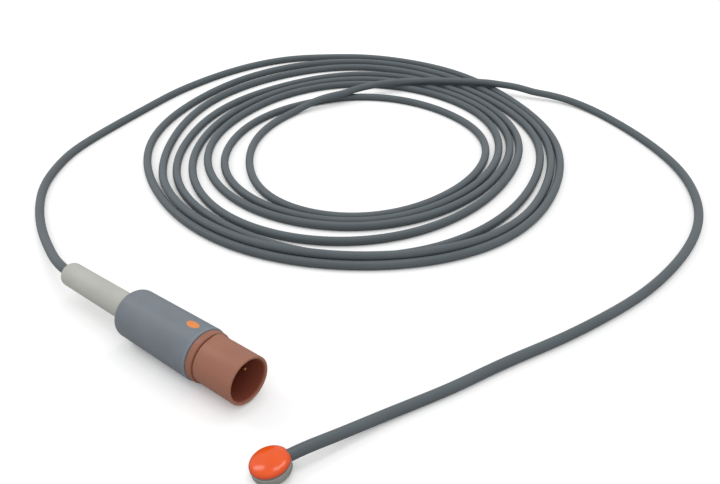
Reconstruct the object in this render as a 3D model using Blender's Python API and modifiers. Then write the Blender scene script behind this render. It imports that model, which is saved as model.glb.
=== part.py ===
"""Skin temperature probe: a small domed sensor on a coiled cable with a two-pin plug.

The sensor's foot is at the origin, +Z is up, and the cable lies on the plane z = 0.
"""
import math

import bpy
import bmesh
from mathutils import Matrix, Vector

MM = 0.001

# Clearances between pieces that touch
GAP = 0.3 * MM
SNUG = 0.1 * MM

# Cable
CABLE_DIAMETER = 2.7 * MM
CABLE_RADIUS = CABLE_DIAMETER / 2
CORE_DIAMETER = 0.8 * MM
CORE_SPREAD = 1.0 * MM
POINT_SPACING = 2.7 * CABLE_DIAMETER

# Coil: an oval ring around the turns, with an oval opening that lies off its middle
COIL_PLACE_X = 15.7 * MM
COIL_PLACE_Y = 155.8 * MM
COIL_WIDTH = 149.6 * MM
COIL_DEPTH = 168.4 * MM
COIL_OPENING_WIDTH = 80.8 * MM
COIL_OPENING_DEPTH = 90.0 * MM
COIL_OPENING_OFFSET_X = 5.9 * MM
COIL_OPENING_OFFSET_Y = -9.1 * MM
COIL_LAYERS = 2
COIL_EDGE = 1.2 * MM

# Sensor head
HEAD_TILT = math.radians(9)
HEAD_EXIT_AZIMUTH = math.radians(29)
HEAD_RADIUS = 4.4 * MM
CUP_HEIGHT = 2.3 * MM
CUP_WALL = 0.6 * MM
CUP_FLOOR = 0.45 * MM
CUP_EDGE = 1.0 * MM
SEAL_THICKNESS = 0.25 * MM
SEAL_WIDTH = 0.8 * MM
CAP_RISE = 1.25 * MM
CAP_WALL = 0.45 * MM
BEAD_DIAMETER = 1.7 * MM
BEAD_LEAD_DIAMETER = 0.3 * MM
BEAD_LEAD_SPREAD = 0.6 * MM
JACKET_END_REACH = 2.4 * MM
CORE_STRIP_REACH = 1.3 * MM

# Plug: distances along its axis are measured back from the mouth
PLUG_MOUTH = Vector((-6.4, 20.0, 0)) * MM
PLUG_AZIMUTH = math.radians(-38.4)
BARREL_MOUTH_RADIUS = 5.7 * MM
BARREL_ROOT_RADIUS = 6.0 * MM
BARREL_LENGTH = 11.8 * MM
BARREL_WALL = 0.7 * MM
LIP_CHAMFER = 0.15 * MM
GROOVE_WIDTH = 0.3 * MM
GROOVE_DEPTH = 0.3 * MM
COLLAR_RADIUS = 6.75 * MM
COLLAR_LENGTH = 1.8 * MM
COLLAR_EDGE = 0.25 * MM
TENON_LENGTH = 8.0 * MM
TENON_WALL = 1.1 * MM
FAIRING_WIDTH = 4.6 * MM
FAIRING_LENGTH = 3.4 * MM
KEY_WIDTH = 1.6 * MM
KEY_HEIGHT = 0.8 * MM
KEY_SETBACK = 1.0 * MM

BODY_LENGTH = 26.4 * MM
BODY_FRONT_RADIUS = 6.7 * MM
BODY_REAR_RADIUS = 6.35 * MM
BODY_WALL = 1.1 * MM
BODY_FRONT_EDGE = 0.35 * MM
BODY_REAR_EDGE = 2.1 * MM
BODY_REAR_WALL = 2.3 * MM

INSERT_DEPTH = 11.0 * MM
INSERT_BOSS_LENGTH = 3.8 * MM
PIN_RADIUS = 0.5 * MM
PIN_SPACING = 4.7 * MM
PIN_TIP_DEPTH = 4.0 * MM
SOLDER_CUP_RADIUS = 0.8 * MM
SOLDER_CUP_LENGTH = 3.0 * MM

RELIEF_FRONT_RADIUS = 3.6 * MM
RELIEF_REAR_RADIUS = 3.05 * MM
RELIEF_LENGTH = 26.2 * MM
RELIEF_END_EDGE = 0.9 * MM
FLANGE_THICKNESS = 1.5 * MM
CLAMP_LENGTH = 3.2 * MM
CLAMP_RADIUS = 3.2 * MM
JACKET_PAST_CLAMP = 3.0 * MM

DOT_LENGTH = 3.4 * MM
DOT_WIDTH = 2.3 * MM
DOT_THICKNESS = 0.2 * MM
DOT_SETBACK = 3.8 * MM
DOT_ANGLE = math.radians(-5)

# Free ends of the cable, in millimetres: x, y and height above the resting cable
PLUG_LEAD_ROUTE = (
    (-62.5, 65.5, 5.0), (-69.3, 76.2, 2.6), (-77.5, 91.8, 0.5), (-83.4, 107.5, 0),
    (-85.9, 120.2, 0), (-85.9, 131.6, 0), (-84.0, 143.7, 0), (-79.4, 156.1, 0),
    (-72.9, 169.8, 0), (-65.9, 183.6, 0), (-58.4, 197.6, 0), (-48.9, 210.9, 0),
    (-37.0, 223.5, 0), (-24.1, 233.0, 0), (-11.9, 238.2, 0), (2.0, 240.2, 0),
)
SENSOR_LEAD_ROUTE = (
    (12.0, 7.2, 1.3), (24.8, 15.4, 0.2), (38.7, 23.3, 0), (52.6, 32.0, 0),
    (66.4, 40.0, 0), (80.4, 49.2, 0), (92.6, 58.6, 0), (105.0, 71.0, 0),
    (115.8, 85.4, 0), (123.4, 100.9, 0), (126.8, 116.1, 0), (127.2, 129.5, 0),
    (125.5, 141.2, 0), (121.7, 154.8, 0), (115.9, 169.0, 0), (108.0, 182.1, 0),
    (97.3, 191.3, 1.0), (86.7, 196.3, 2.1), (81.7, 198.6, 2.5),
)

# Radii and places along the plug's axis that follow from the sizes
PLUG_HEIGHT = max(COLLAR_RADIUS, BODY_FRONT_RADIUS)
BORE_RADIUS = BARREL_MOUTH_RADIUS - BARREL_WALL
BODY_BORE_RADIUS = BODY_FRONT_RADIUS - BODY_WALL
TENON_RADIUS = BODY_BORE_RADIUS - GAP
SEAT_RADIUS = TENON_RADIUS - TENON_WALL
COLLAR_FRONT = BARREL_LENGTH + GROOVE_WIDTH
COLLAR_REAR = COLLAR_FRONT + COLLAR_LENGTH
TENON_REAR = COLLAR_REAR + TENON_LENGTH
BOSS_REAR = COLLAR_REAR + INSERT_BOSS_LENGTH
BODY_FRONT = COLLAR_REAR + GAP
BODY_REAR = BODY_FRONT + BODY_LENGTH
BODY_BORE_END = BODY_REAR - BODY_REAR_WALL
FLANGE_REAR = BODY_BORE_END - GAP
FLANGE_FRONT = FLANGE_REAR - FLANGE_THICKNESS
RELIEF_REAR = BODY_REAR + RELIEF_LENGTH
CLAMP_REAR = FLANGE_FRONT - GAP
CLAMP_FRONT = CLAMP_REAR - CLAMP_LENGTH
JACKET_END = CLAMP_FRONT - JACKET_PAST_CLAMP
SOLDER_CUP_FRONT = BOSS_REAR + GAP
PIN_REAR = SOLDER_CUP_FRONT + SOLDER_CUP_LENGTH

# Heights in the sensor head that follow from its sizes
SEAL_BOTTOM = CUP_HEIGHT + SNUG
CAP_BOTTOM = SEAL_BOTTOM + SEAL_THICKNESS + SNUG
CABLE_HEIGHT_IN_HEAD = CUP_FLOOR + SNUG + CABLE_RADIUS
HEAD_CLEAR_RADIUS = HEAD_RADIUS + SNUG


def clear_scene():
    for old in list(bpy.data.objects):
        bpy.data.objects.remove(old, do_unlink=True)


def new_collection(name):
    group = bpy.data.collections.new(name)
    bpy.context.scene.collection.children.link(group)
    return group


def make_material(name, colour, roughness, metallic=0.0):
    finish = bpy.data.materials.new(name)
    finish.use_nodes = True
    shader = finish.node_tree.nodes["Principled BSDF"]
    shader.inputs["Base Color"].default_value = (*colour, 1.0)
    shader.inputs["Roughness"].default_value = roughness
    shader.inputs["Metallic"].default_value = metallic
    return finish


def add_object(name, data, material, parent=None):
    piece = bpy.data.objects.new(name, data)
    data.materials.append(material)
    parts.objects.link(piece)
    piece.parent = parent
    return piece


def add_empty(name, location, rotation=(0, 0, 0), parent=None):
    empty = bpy.data.objects.new(name, None)
    empty.empty_display_size = 0.01
    empty.location = location
    empty.rotation_euler = rotation
    empty.parent = parent
    parts.objects.link(empty)
    return empty


def arc(middle_radius, middle_height, bend, start, end, steps):
    """Points of a rounded edge, as (radius, height); angles run from outward (0) to up (90)."""
    angles = [math.radians(start + (end - start) * i / steps) for i in range(steps + 1)]
    return [(middle_radius + bend * math.cos(a), middle_height + bend * math.sin(a)) for a in angles]


def turned(name, profile, material, parent=None, segments=40, closed=True):
    """A turned solid; its profile runs down the outer side first."""
    mesh = bpy.data.meshes.new(name)
    count = len(profile)
    edges = [(i, i + 1) for i in range(count - 1)]
    if closed:
        edges.append((count - 1, 0))
    mesh.from_pydata([(radius, 0, height) for radius, height in profile], edges, [])
    piece = add_object(name, mesh, material, parent)
    screw = piece.modifiers.new("turn", "SCREW")
    screw.steps = segments
    screw.render_steps = segments
    screw.use_merge_vertices = True
    screw.merge_threshold = 0.00001
    screw.use_smooth_shade = True
    return piece


def boolean(piece, tool, operation):
    cut = piece.modifiers.new(operation.lower(), "BOOLEAN")
    cut.operation = operation
    cut.solver = "EXACT"
    cut.object = tool


def make_tool(name, mesh, parent=None, location=(0, 0, 0), rotation=(0, 0, 0)):
    """A guide shape for a Boolean, kept out of the parts."""
    tool = bpy.data.objects.new(name, mesh)
    tools.objects.link(tool)
    tool.parent = parent
    tool.location = location
    tool.rotation_euler = rotation
    tool.hide_render = True
    tool.display_type = "WIRE"
    return tool


def box_mesh(name, size):
    mesh = bpy.data.meshes.new(name)
    shape = bmesh.new()
    bmesh.ops.create_cube(shape, size=1, matrix=Matrix.Diagonal((*size, 1)))
    shape.to_mesh(mesh)
    shape.free()
    return mesh


def cone_mesh(name, radius_low, radius_high, length, segments=32, scale=(1, 1, 1)):
    """A round bar or cone along Z, its middle at the origin."""
    mesh = bpy.data.meshes.new(name)
    shape = bmesh.new()
    bmesh.ops.create_cone(
        shape, cap_ends=True, segments=segments, radius1=radius_low, radius2=radius_high,
        depth=length, matrix=Matrix.Diagonal((*scale, 1)),
    )
    shape.to_mesh(mesh)
    shape.free()
    return mesh


def smooth_curve(points, spacing, first_heading):
    """Points read at even steps from a smooth curve through the given ones."""
    headings = [first_heading.normalized()]
    for before, here, after in zip(points, points[1:], points[2:]):
        arriving = here - before
        leaving = after - here
        behind = arriving.length
        ahead = leaving.length
        headings.append((arriving * ahead / behind + leaving * behind / ahead) / (behind + ahead))
    headings.append((points[-1] - points[-2]).normalized())
    read = []
    for start, end, leave, arrive in zip(points, points[1:], headings, headings[1:]):
        chord = (end - start).length
        count = max(1, round(chord / spacing))
        for i in range(count):
            t = i / count
            read.append(
                start * (2 * t**3 - 3 * t**2 + 1) + end * (3 * t**2 - 2 * t**3)
                + leave * chord * (t**3 - 2 * t**2 + t) + arrive * chord * (t**3 - t**2)
            )
    read.append(points[-1])
    return read


def resting(points):
    """The same points, none lower than the cable lies on the floor."""
    return [Vector((point.x, point.y, max(point.z, CABLE_RADIUS))) for point in points]


def tube(name, points, radius, material, parent=None):
    """A round wire or cable with closed ends."""
    line = bpy.data.curves.new(name, "CURVE")
    line.dimensions = "3D"
    line.twist_mode = "MINIMUM"
    line.bevel_depth = radius
    line.bevel_resolution = 2
    line.use_fill_caps = True
    spline = line.splines.new("POLY")
    spline.points.add(len(points) - 1)
    for point, place in zip(spline.points, points):
        point.co = (*place, 1)
    return add_object(name, line, material, parent)


def eased_wire(name, start, end, radius, material, parent, steps=6):
    """A short wire, straight along its first axis at both ends, that eases over in the others."""
    straight = 0.22
    points = []
    for i in range(steps + 1):
        t = i / steps
        turn = min(1, max(0, (t - straight) / (1 - 2 * straight)))
        ease = turn * turn * (3 - 2 * turn)
        points.append(Vector((
            start[0] + (end[0] - start[0]) * t,
            start[1] + (end[1] - start[1]) * ease,
            start[2] + (end[2] - start[2]) * ease,
        )))
    return tube(name, points, radius, material, parent)


def oval_outline(line, middle_x, middle_y, width, depth, segments=64):
    spline = line.splines.new("POLY")
    spline.points.add(segments - 1)
    for i, point in enumerate(spline.points):
        angle = 2 * math.pi * i / segments
        point.co = (middle_x + width / 2 * math.cos(angle), middle_y + depth / 2 * math.sin(angle), 0, 1)
    spline.use_cyclic_u = True


def build_coil():
    """The outer shape of the wound cable: a low oval ring with rounded edges."""
    height = COIL_LAYERS * CABLE_DIAMETER
    line = bpy.data.curves.new("cable_coil", "CURVE")
    line.dimensions = "2D"
    line.fill_mode = "BOTH"
    line.extrude = height / 2 - COIL_EDGE
    line.bevel_depth = COIL_EDGE
    line.bevel_resolution = 1
    line.offset = -COIL_EDGE
    oval_outline(line, COIL_PLACE_X, COIL_PLACE_Y, COIL_WIDTH, COIL_DEPTH)
    opening_x = COIL_PLACE_X + COIL_OPENING_OFFSET_X
    opening_y = COIL_PLACE_Y + COIL_OPENING_OFFSET_Y
    oval_outline(line, opening_x, opening_y, COIL_OPENING_WIDTH, COIL_OPENING_DEPTH)
    ring = add_object("cable_coil", line, cable_grey)
    ring.location.z = height / 2


def build_head():
    """The sensor: a metal cup with a sealed orange cap, and the thermistor inside."""
    floor_radius = HEAD_RADIUS - CUP_EDGE
    lift = floor_radius * math.sin(HEAD_TILT) + CUP_EDGE * (1 - math.cos(HEAD_TILT))
    rim_shift = CUP_HEIGHT * math.sin(HEAD_TILT)
    head = add_empty("sensor_head", (rim_shift, 0, lift), (0, -HEAD_TILT, 0))
    cable_exit = add_empty("sensor_exit", (0, 0, 0), (0, 0, HEAD_EXIT_AZIMUTH), head)

    cable_way = make_tool(
        "cable_way",
        cone_mesh("cable_way", CABLE_RADIUS + SNUG, CABLE_RADIUS + SNUG, HEAD_RADIUS, segments=24),
        parent=cable_exit,
        location=(JACKET_END_REACH - SNUG + HEAD_RADIUS / 2, 0, CABLE_HEIGHT_IN_HEAD),
        rotation=(0, math.radians(90), 0),
    )

    inner_radius = HEAD_RADIUS - CUP_WALL
    inner_edge = CUP_EDGE - CUP_WALL
    cup = [(HEAD_RADIUS, CUP_HEIGHT)]
    cup += arc(floor_radius, CUP_EDGE, CUP_EDGE, 0, -90, 5)
    cup += [(0, 0), (0, CUP_FLOOR)]
    cup += arc(inner_radius - inner_edge, CUP_FLOOR + inner_edge, inner_edge, -90, 0, 3)
    cup += [(inner_radius, CUP_HEIGHT)]
    boolean(turned("sensor_cup", cup, cup_metal, head), cable_way, "DIFFERENCE")

    seal_top = SEAL_BOTTOM + SEAL_THICKNESS
    seal_inner = HEAD_RADIUS - SEAL_WIDTH
    seal = [
        (HEAD_RADIUS, seal_top), (HEAD_RADIUS, SEAL_BOTTOM),
        (seal_inner, SEAL_BOTTOM), (seal_inner, seal_top),
    ]
    boolean(turned("seal_ring", seal, seal_rubber, head), cable_way, "DIFFERENCE")

    steps = 8
    crown = [math.radians(90 * i / steps) for i in range(steps + 1)]
    cap_inner_radius = HEAD_RADIUS - CAP_WALL
    cap_inner_rise = CAP_RISE - CAP_WALL
    cap = [(0, CAP_BOTTOM + cap_inner_rise), (0, CAP_BOTTOM + CAP_RISE)]
    cap += [(HEAD_RADIUS * math.sin(a), CAP_BOTTOM + CAP_RISE * math.cos(a)) for a in crown[1:]]
    cap += [
        (cap_inner_radius * math.sin(a), CAP_BOTTOM + cap_inner_rise * math.cos(a))
        for a in reversed(crown[1:])
    ]
    boolean(turned("sensor_cap", cap, cap_orange, head), cable_way, "DIFFERENCE")

    bead_radius = BEAD_DIAMETER / 2
    bead_height = CUP_FLOOR + SNUG + bead_radius
    bead_mesh = bpy.data.meshes.new("thermistor_bead")
    shape = bmesh.new()
    bmesh.ops.create_uvsphere(shape, u_segments=20, v_segments=12, radius=bead_radius)
    shape.to_mesh(bead_mesh)
    shape.free()
    bead_mesh.shade_smooth()
    bead = add_object("thermistor_bead", bead_mesh, bead_glass, cable_exit)
    bead.location = (-bead_radius, 0, bead_height)

    lead_radius = BEAD_LEAD_DIAMETER / 2
    for letter, hand in (("a", -1), ("b", 1)):
        eased_wire(
            "thermistor_lead_" + letter,
            (SNUG, hand * BEAD_LEAD_SPREAD / 2, bead_height),
            (CORE_STRIP_REACH - SNUG, hand * CORE_SPREAD / 2, CABLE_HEIGHT_IN_HEAD),
            lead_radius, tinned_wire, cable_exit,
        )
        eased_wire(
            "sensor_core_" + letter,
            (CORE_STRIP_REACH, hand * CORE_SPREAD / 2, CABLE_HEIGHT_IN_HEAD),
            (JACKET_END_REACH - SNUG, hand * CORE_SPREAD / 2, CABLE_HEIGHT_IN_HEAD),
            CORE_DIAMETER / 2, core_white, cable_exit, steps=2,
        )
    return cable_exit


def build_shroud(plug):
    """The plug's round barrel with its collar and the tenon that fits the body."""
    barrel = [
        (BORE_RADIUS + LIP_CHAMFER, 0), (BARREL_MOUTH_RADIUS - LIP_CHAMFER, 0),
        (BARREL_MOUTH_RADIUS, -LIP_CHAMFER), (BARREL_ROOT_RADIUS, -BARREL_LENGTH),
        (BARREL_ROOT_RADIUS - GROOVE_DEPTH, -BARREL_LENGTH),
        (BARREL_ROOT_RADIUS - GROOVE_DEPTH, -COLLAR_FRONT),
    ]
    collar = arc(COLLAR_RADIUS - COLLAR_EDGE, -COLLAR_FRONT - COLLAR_EDGE, COLLAR_EDGE, 90, 0, 3)
    rear = [
        (COLLAR_RADIUS, -COLLAR_REAR), (TENON_RADIUS, -COLLAR_REAR), (TENON_RADIUS, -TENON_REAR),
        (SEAT_RADIUS, -TENON_REAR), (SEAT_RADIUS, -COLLAR_REAR), (BORE_RADIUS, -COLLAR_REAR),
        (BORE_RADIUS, -LIP_CHAMFER),
    ]
    shroud = turned("plug_shroud", barrel + collar + rear, shroud_brown, plug, segments=48)

    mid_wall = BORE_RADIUS + BARREL_WALL / 2
    fairing_middle = COLLAR_FRONT + COLLAR_EDGE + SNUG - FAIRING_LENGTH / 2
    rear_radius = COLLAR_RADIUS - SNUG / 3
    front_radius = BARREL_ROOT_RADIUS - SNUG
    fairing = make_tool(
        "fairing",
        cone_mesh("fairing", rear_radius, front_radius, FAIRING_LENGTH, segments=52),
        parent=plug, location=(0, 0, -fairing_middle),
    )
    fairing_block = make_tool(
        "fairing_block",
        box_mesh("fairing_block", (FAIRING_WIDTH, COLLAR_RADIUS, 2 * FAIRING_LENGTH)),
        parent=plug, location=(0, mid_wall + COLLAR_RADIUS / 2, -fairing_middle),
    )
    boolean(fairing, fairing_block, "INTERSECT")
    boolean(shroud, fairing, "UNION")

    key_top = BORE_RADIUS - KEY_HEIGHT
    key_length = INSERT_DEPTH - GAP - KEY_SETBACK
    key = make_tool(
        "key_rib",
        box_mesh("key_rib", (KEY_WIDTH, mid_wall - key_top, key_length)),
        parent=plug, location=(0, (mid_wall + key_top) / 2, -KEY_SETBACK - key_length / 2),
    )
    boolean(shroud, key, "UNION")


def build_contacts(plug):
    """The moulded insert and its two gilt pins, with the cable's cores behind them."""
    disc_radius = BORE_RADIUS - GAP
    disc_rear = COLLAR_REAR - GAP
    boss_radius = SEAT_RADIUS - GAP
    insert = turned(
        "contact_insert",
        [
            (0, -INSERT_DEPTH), (disc_radius, -INSERT_DEPTH), (disc_radius, -disc_rear),
            (boss_radius, -disc_rear), (boss_radius, -BOSS_REAR), (0, -BOSS_REAR),
        ],
        insert_brown, plug, closed=False,
    )
    for letter, hand in (("a", -1), ("b", 1)):
        side = hand * PIN_SPACING / 2
        hole = make_tool(
            "pin_hole_" + letter,
            cone_mesh("pin_hole_" + letter, PIN_RADIUS + SNUG, PIN_RADIUS + SNUG, 2 * BOSS_REAR, segments=20),
            parent=plug, location=(side, 0, -BOSS_REAR),
        )
        boolean(insert, hole, "DIFFERENCE")
        cup_floor = PIN_REAR - SOLDER_CUP_LENGTH / 2
        cup_bore = CORE_DIAMETER / 2 + SNUG
        pin_profile = [(0, -PIN_TIP_DEPTH)]
        pin_profile += arc(0, -PIN_TIP_DEPTH - PIN_RADIUS, PIN_RADIUS, 67.5, 0, 3)
        pin_profile += [
            (PIN_RADIUS, -SOLDER_CUP_FRONT), (SOLDER_CUP_RADIUS, -SOLDER_CUP_FRONT),
            (SOLDER_CUP_RADIUS, -PIN_REAR), (cup_bore, -PIN_REAR), (cup_bore, -cup_floor), (0, -cup_floor),
        ]
        pin = turned("contact_pin_" + letter, pin_profile, pin_gold, plug, segments=20, closed=False)
        pin.location.x = side
        core_end = cup_floor + SNUG
        core = eased_wire(
            "plug_core_" + letter,
            (core_end, side, 0), (JACKET_END - SNUG, hand * CORE_SPREAD / 2, 0),
            CORE_DIAMETER / 2, core_white, plug, steps=12,
        )
        core.rotation_euler = (math.radians(90), math.radians(90), 0)


def build_body(plug):
    """The grey grip, its orange dot, the cable clamp and the strain relief."""
    relief_hole = RELIEF_FRONT_RADIUS + GAP
    taper = (BODY_FRONT_RADIUS - BODY_REAR_RADIUS) / BODY_LENGTH
    shoulder = BODY_REAR - BODY_REAR_EDGE
    body = arc(BODY_FRONT_RADIUS - BODY_FRONT_EDGE, -BODY_FRONT - BODY_FRONT_EDGE, BODY_FRONT_EDGE, 90, 0, 3)
    body += arc(BODY_REAR_RADIUS - BODY_REAR_EDGE, -shoulder, BODY_REAR_EDGE, 0, -90, 6)
    body += [
        (relief_hole, -BODY_REAR), (relief_hole, -BODY_BORE_END),
        (BODY_BORE_RADIUS, -BODY_BORE_END), (BODY_BORE_RADIUS, -BODY_FRONT),
    ]
    turned("plug_body", body, body_grey, plug, segments=48)

    dot_place = BODY_FRONT + DOT_SETBACK
    skin_radius = BODY_FRONT_RADIUS + SNUG
    skin_front = BODY_FRONT + SNUG
    skin_rear = dot_place + DOT_LENGTH
    skin = [
        (skin_radius + DOT_THICKNESS - taper * SNUG, -skin_front),
        (skin_radius + DOT_THICKNESS - taper * (skin_rear - BODY_FRONT), -skin_rear),
        (skin_radius - taper * (skin_rear - BODY_FRONT), -skin_rear),
        (skin_radius - taper * SNUG, -skin_front),
    ]
    dot = turned("alignment_dot", skin, dot_orange, plug, segments=62)
    dot.rotation_euler.z = DOT_ANGLE
    oval_height = 2 * BODY_FRONT_RADIUS
    dot_oval = make_tool(
        "dot_oval",
        cone_mesh("dot_oval", 0.5, 0.5, oval_height, segments=24, scale=(DOT_WIDTH, DOT_LENGTH, 1)),
        parent=dot, location=(0, oval_height / 2, -dot_place), rotation=(math.radians(90), 0, 0),
    )
    boolean(dot, dot_oval, "INTERSECT")

    cable_bore = CABLE_RADIUS + GAP
    flange_radius = BODY_BORE_RADIUS - GAP
    relief = [
        (flange_radius, -FLANGE_FRONT), (flange_radius, -FLANGE_REAR),
        (RELIEF_FRONT_RADIUS, -FLANGE_REAR), (RELIEF_FRONT_RADIUS, -BODY_REAR),
    ]
    end_middle = RELIEF_REAR_RADIUS - RELIEF_END_EDGE
    relief += arc(end_middle, -RELIEF_REAR + RELIEF_END_EDGE, RELIEF_END_EDGE, 0, -90, 4)
    relief += [(cable_bore, -RELIEF_REAR), (cable_bore, -FLANGE_FRONT)]
    turned("strain_relief", relief, relief_grey, plug, segments=36)

    clamp = [
        (CLAMP_RADIUS, -CLAMP_FRONT), (CLAMP_RADIUS, -CLAMP_REAR),
        (cable_bore, -CLAMP_REAR), (cable_bore, -CLAMP_FRONT),
    ]
    turned("cable_clamp", clamp, clamp_steel, plug, segments=32)


def build_plug():
    quarter_turn = math.radians(90)
    mouth = PLUG_MOUTH + Vector((0, 0, PLUG_HEIGHT))
    plug = add_empty("plug", mouth, (quarter_turn, 0, quarter_turn + PLUG_AZIMUTH))
    build_shroud(plug)
    build_contacts(plug)
    build_body(plug)
    return plug


def route_points(route):
    return [Vector((x * MM, y * MM, lift * MM + CABLE_RADIUS)) for x, y, lift in route]


def build_leads(plug, cable_exit):
    """The cable's free ends, from the plug to the coil and from the sensor to the coil."""
    bpy.context.view_layer.update()
    plug_place = plug.matrix_world
    jacket_end = plug_place @ Vector((0, 0, -JACKET_END))
    relief_end = plug_place @ Vector((0, 0, -RELIEF_REAR))
    route = [relief_end, *route_points(PLUG_LEAD_ROUTE)]
    points = smooth_curve(route, POINT_SPACING, relief_end - jacket_end)
    tube("plug_lead", [jacket_end, *resting(points)], CABLE_RADIUS, cable_grey)

    exit_place = cable_exit.matrix_world
    head_end = exit_place @ Vector((JACKET_END_REACH, 0, CABLE_HEIGHT_IN_HEAD))
    head_wall = exit_place @ Vector((HEAD_CLEAR_RADIUS, 0, CABLE_HEIGHT_IN_HEAD))
    route = [head_wall, *route_points(SENSOR_LEAD_ROUTE)]
    points = smooth_curve(route, POINT_SPACING, head_wall - head_end)
    tube("sensor_lead", [head_end, *resting(points)], CABLE_RADIUS, cable_grey)


clear_scene()
parts = new_collection("skin_temperature_probe")
tools = new_collection("cutters")

cable_grey = make_material("cable_grey", (0.11, 0.13, 0.14), 0.5)
cup_metal = make_material("cup_metal", (0.45, 0.43, 0.39), 0.35, 0.6)
seal_rubber = make_material("seal_rubber", (0.16, 0.20, 0.19), 0.6)
cap_orange = make_material("cap_orange", (0.80, 0.13, 0.03), 0.2)
bead_glass = make_material("bead_glass", (0.55, 0.25, 0.10), 0.15)
tinned_wire = make_material("tinned_wire", (0.70, 0.70, 0.68), 0.3, 1.0)
core_white = make_material("core_white", (0.80, 0.80, 0.78), 0.5)
shroud_brown = make_material("shroud_brown", (0.35, 0.16, 0.11), 0.4)
insert_brown = make_material("insert_brown", (0.10, 0.02, 0.012), 0.5)
pin_gold = make_material("pin_gold", (0.85, 0.68, 0.35), 0.25, 1.0)
body_grey = make_material("body_grey", (0.20, 0.23, 0.27), 0.45)
dot_orange = make_material("dot_orange", (0.87, 0.30, 0.06), 0.45)
relief_grey = make_material("relief_grey", (0.47, 0.47, 0.43), 0.55)
clamp_steel = make_material("clamp_steel", (0.55, 0.56, 0.57), 0.35, 1.0)

build_coil()
sensor_exit = build_head()
plug_frame = build_plug()
build_leads(plug_frame, sensor_exit)
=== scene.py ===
"""Skin temperature probe, dressed for a render: camera, cable, sensor, plug, finishes and light.

Sizes are in millimetres where their comment doesn't say otherwise; meshes are built in metres.
"""
import math

import bmesh
import bpy
import numpy as np
from mathutils import Euler, Matrix, Vector


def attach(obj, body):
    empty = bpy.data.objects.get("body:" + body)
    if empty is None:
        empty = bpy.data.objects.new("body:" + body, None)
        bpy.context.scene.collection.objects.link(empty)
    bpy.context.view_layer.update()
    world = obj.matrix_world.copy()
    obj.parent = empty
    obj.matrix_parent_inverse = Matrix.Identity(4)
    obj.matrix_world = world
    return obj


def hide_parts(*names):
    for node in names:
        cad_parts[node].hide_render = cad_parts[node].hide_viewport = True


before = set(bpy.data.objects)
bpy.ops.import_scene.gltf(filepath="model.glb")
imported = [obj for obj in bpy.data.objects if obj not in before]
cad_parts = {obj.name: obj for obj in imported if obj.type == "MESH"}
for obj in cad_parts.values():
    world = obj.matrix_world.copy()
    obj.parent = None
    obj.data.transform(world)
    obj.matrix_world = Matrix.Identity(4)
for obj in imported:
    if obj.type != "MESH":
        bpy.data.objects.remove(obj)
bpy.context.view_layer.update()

MM = 0.001

# Camera: where it stands, how far it is turned up from straight down, and its lens
CAMERA_PLACE = Vector((18.2, -110.4, 128.15))
CAMERA_PITCH = math.radians(57)
CAMERA_LENS = 39.65
CAMERA_SENSOR = 36.0

# Cable
CABLE_DIAMETER = 2.7
CABLE_RADIUS = CABLE_DIAMETER / 2
CABLE_SIDES = 28
CABLE_STEP = 1.8

# Free end to the plug and free end to the sensor: x, y and height above the resting cable
PLUG_LEAD_ROUTE = (
    (-62.5, 65.5, 5.0), (-69.3, 76.2, 2.6), (-77.5, 91.8, 0.5), (-83.4, 107.5, 0),
    (-85.9, 120.2, 0), (-85.9, 131.6, 0), (-84.0, 143.7, 0), (-79.4, 156.1, 0),
    (-72.9, 169.8, 0), (-65.9, 183.6, 0), (-58.4, 197.6, 0), (-48.9, 210.9, 0),
    (-37.0, 223.5, 0), (-24.1, 233.0, 0), (-11.9, 238.2, 0), (2.0, 240.2, 0),
)
SENSOR_LEAD_ROUTE = (
    (12.0, 7.2, 1.3), (24.8, 15.4, 0.2), (38.7, 23.3, 0), (52.6, 32.0, 0),
    (66.4, 40.0, 0), (80.4, 49.2, 0), (92.6, 58.6, 0), (105.0, 71.0, 0),
    (115.8, 85.4, 0), (123.4, 100.9, 0), (126.8, 116.1, 0), (127.2, 129.5, 0),
    (125.5, 141.2, 0), (121.7, 154.8, 0), (115.9, 169.2, 0), (108.0, 182.8, 0.2),
    (97.3, 192.2, 0.9), (86.7, 196.2, 1.7), (81.7, 198.4, 2.1),
)

# Turns of the coil in the order they were laid: reach from the middle at twelve bearings
COIL_MIDDLE = (18.2, 153.6)
COIL_BEARINGS = (90, 60, 30, 0, -30, -60, -90, -120, -150, -180, -210, -240)
COIL_REACHES = (
    (86.6, 78.9, 71.1, 70.8, 73.6, 79.8, 80.8, 79.5, 76.4, 75.9, 75.5, 79.5),
    (80.4, 73.5, 67.9, 67.9, 70.5, 77.1, 78.6, 77.0, 73.3, 68.6, 69.6, 72.0),
    (73.8, 68.0, 63.9, 64.4, 66.1, 72.2, 76.6, 72.8, 68.7, 62.9, 60.9, 61.3),
    (65.0, 62.8, 59.3, 57.8, 57.3, 61.8, 68.0, 68.6, 63.5, 57.6, 55.4, 56.8),
    (59.2, 57.6, 55.7, 54.5, 53.8, 56.5, 60.0, 60.0, 57.2, 53.4, 50.9, 52.4),
    (54.0, 52.9, 51.8, 50.5, 50.4, 53.1, 57.2, 56.2, 52.1, 46.2, 42.0, 39.7),
    (40.2, 40.6, 42.0, 45.0, 46.7, 50.0, 54.4, 52.0, 43.6, 38.0, 35.8, 36.2),
)
POINTS_BETWEEN_BEARINGS = 2

# The front of the second turn was lifted over the third: its bearings, counted on from the plug's
LIFTED_STRETCH = (-845, -790)

# The last turn leaves the coil over all the others
CROSSING_ROUTE = (
    (12.3, 191.6), (20.2, 197.7), (29.9, 202.3), (39.7, 204.2),
    (49.5, 204.5), (59.3, 204.1), (67.1, 203.2), (75.0, 201.0),
)

# How the laid cable eases over what it crosses: reach of the ease along it, and passes of the sum
EASE_REACH = 14.0
LAYING_PASSES = 10
NEIGHBOUR_REACH = 12.0

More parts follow.
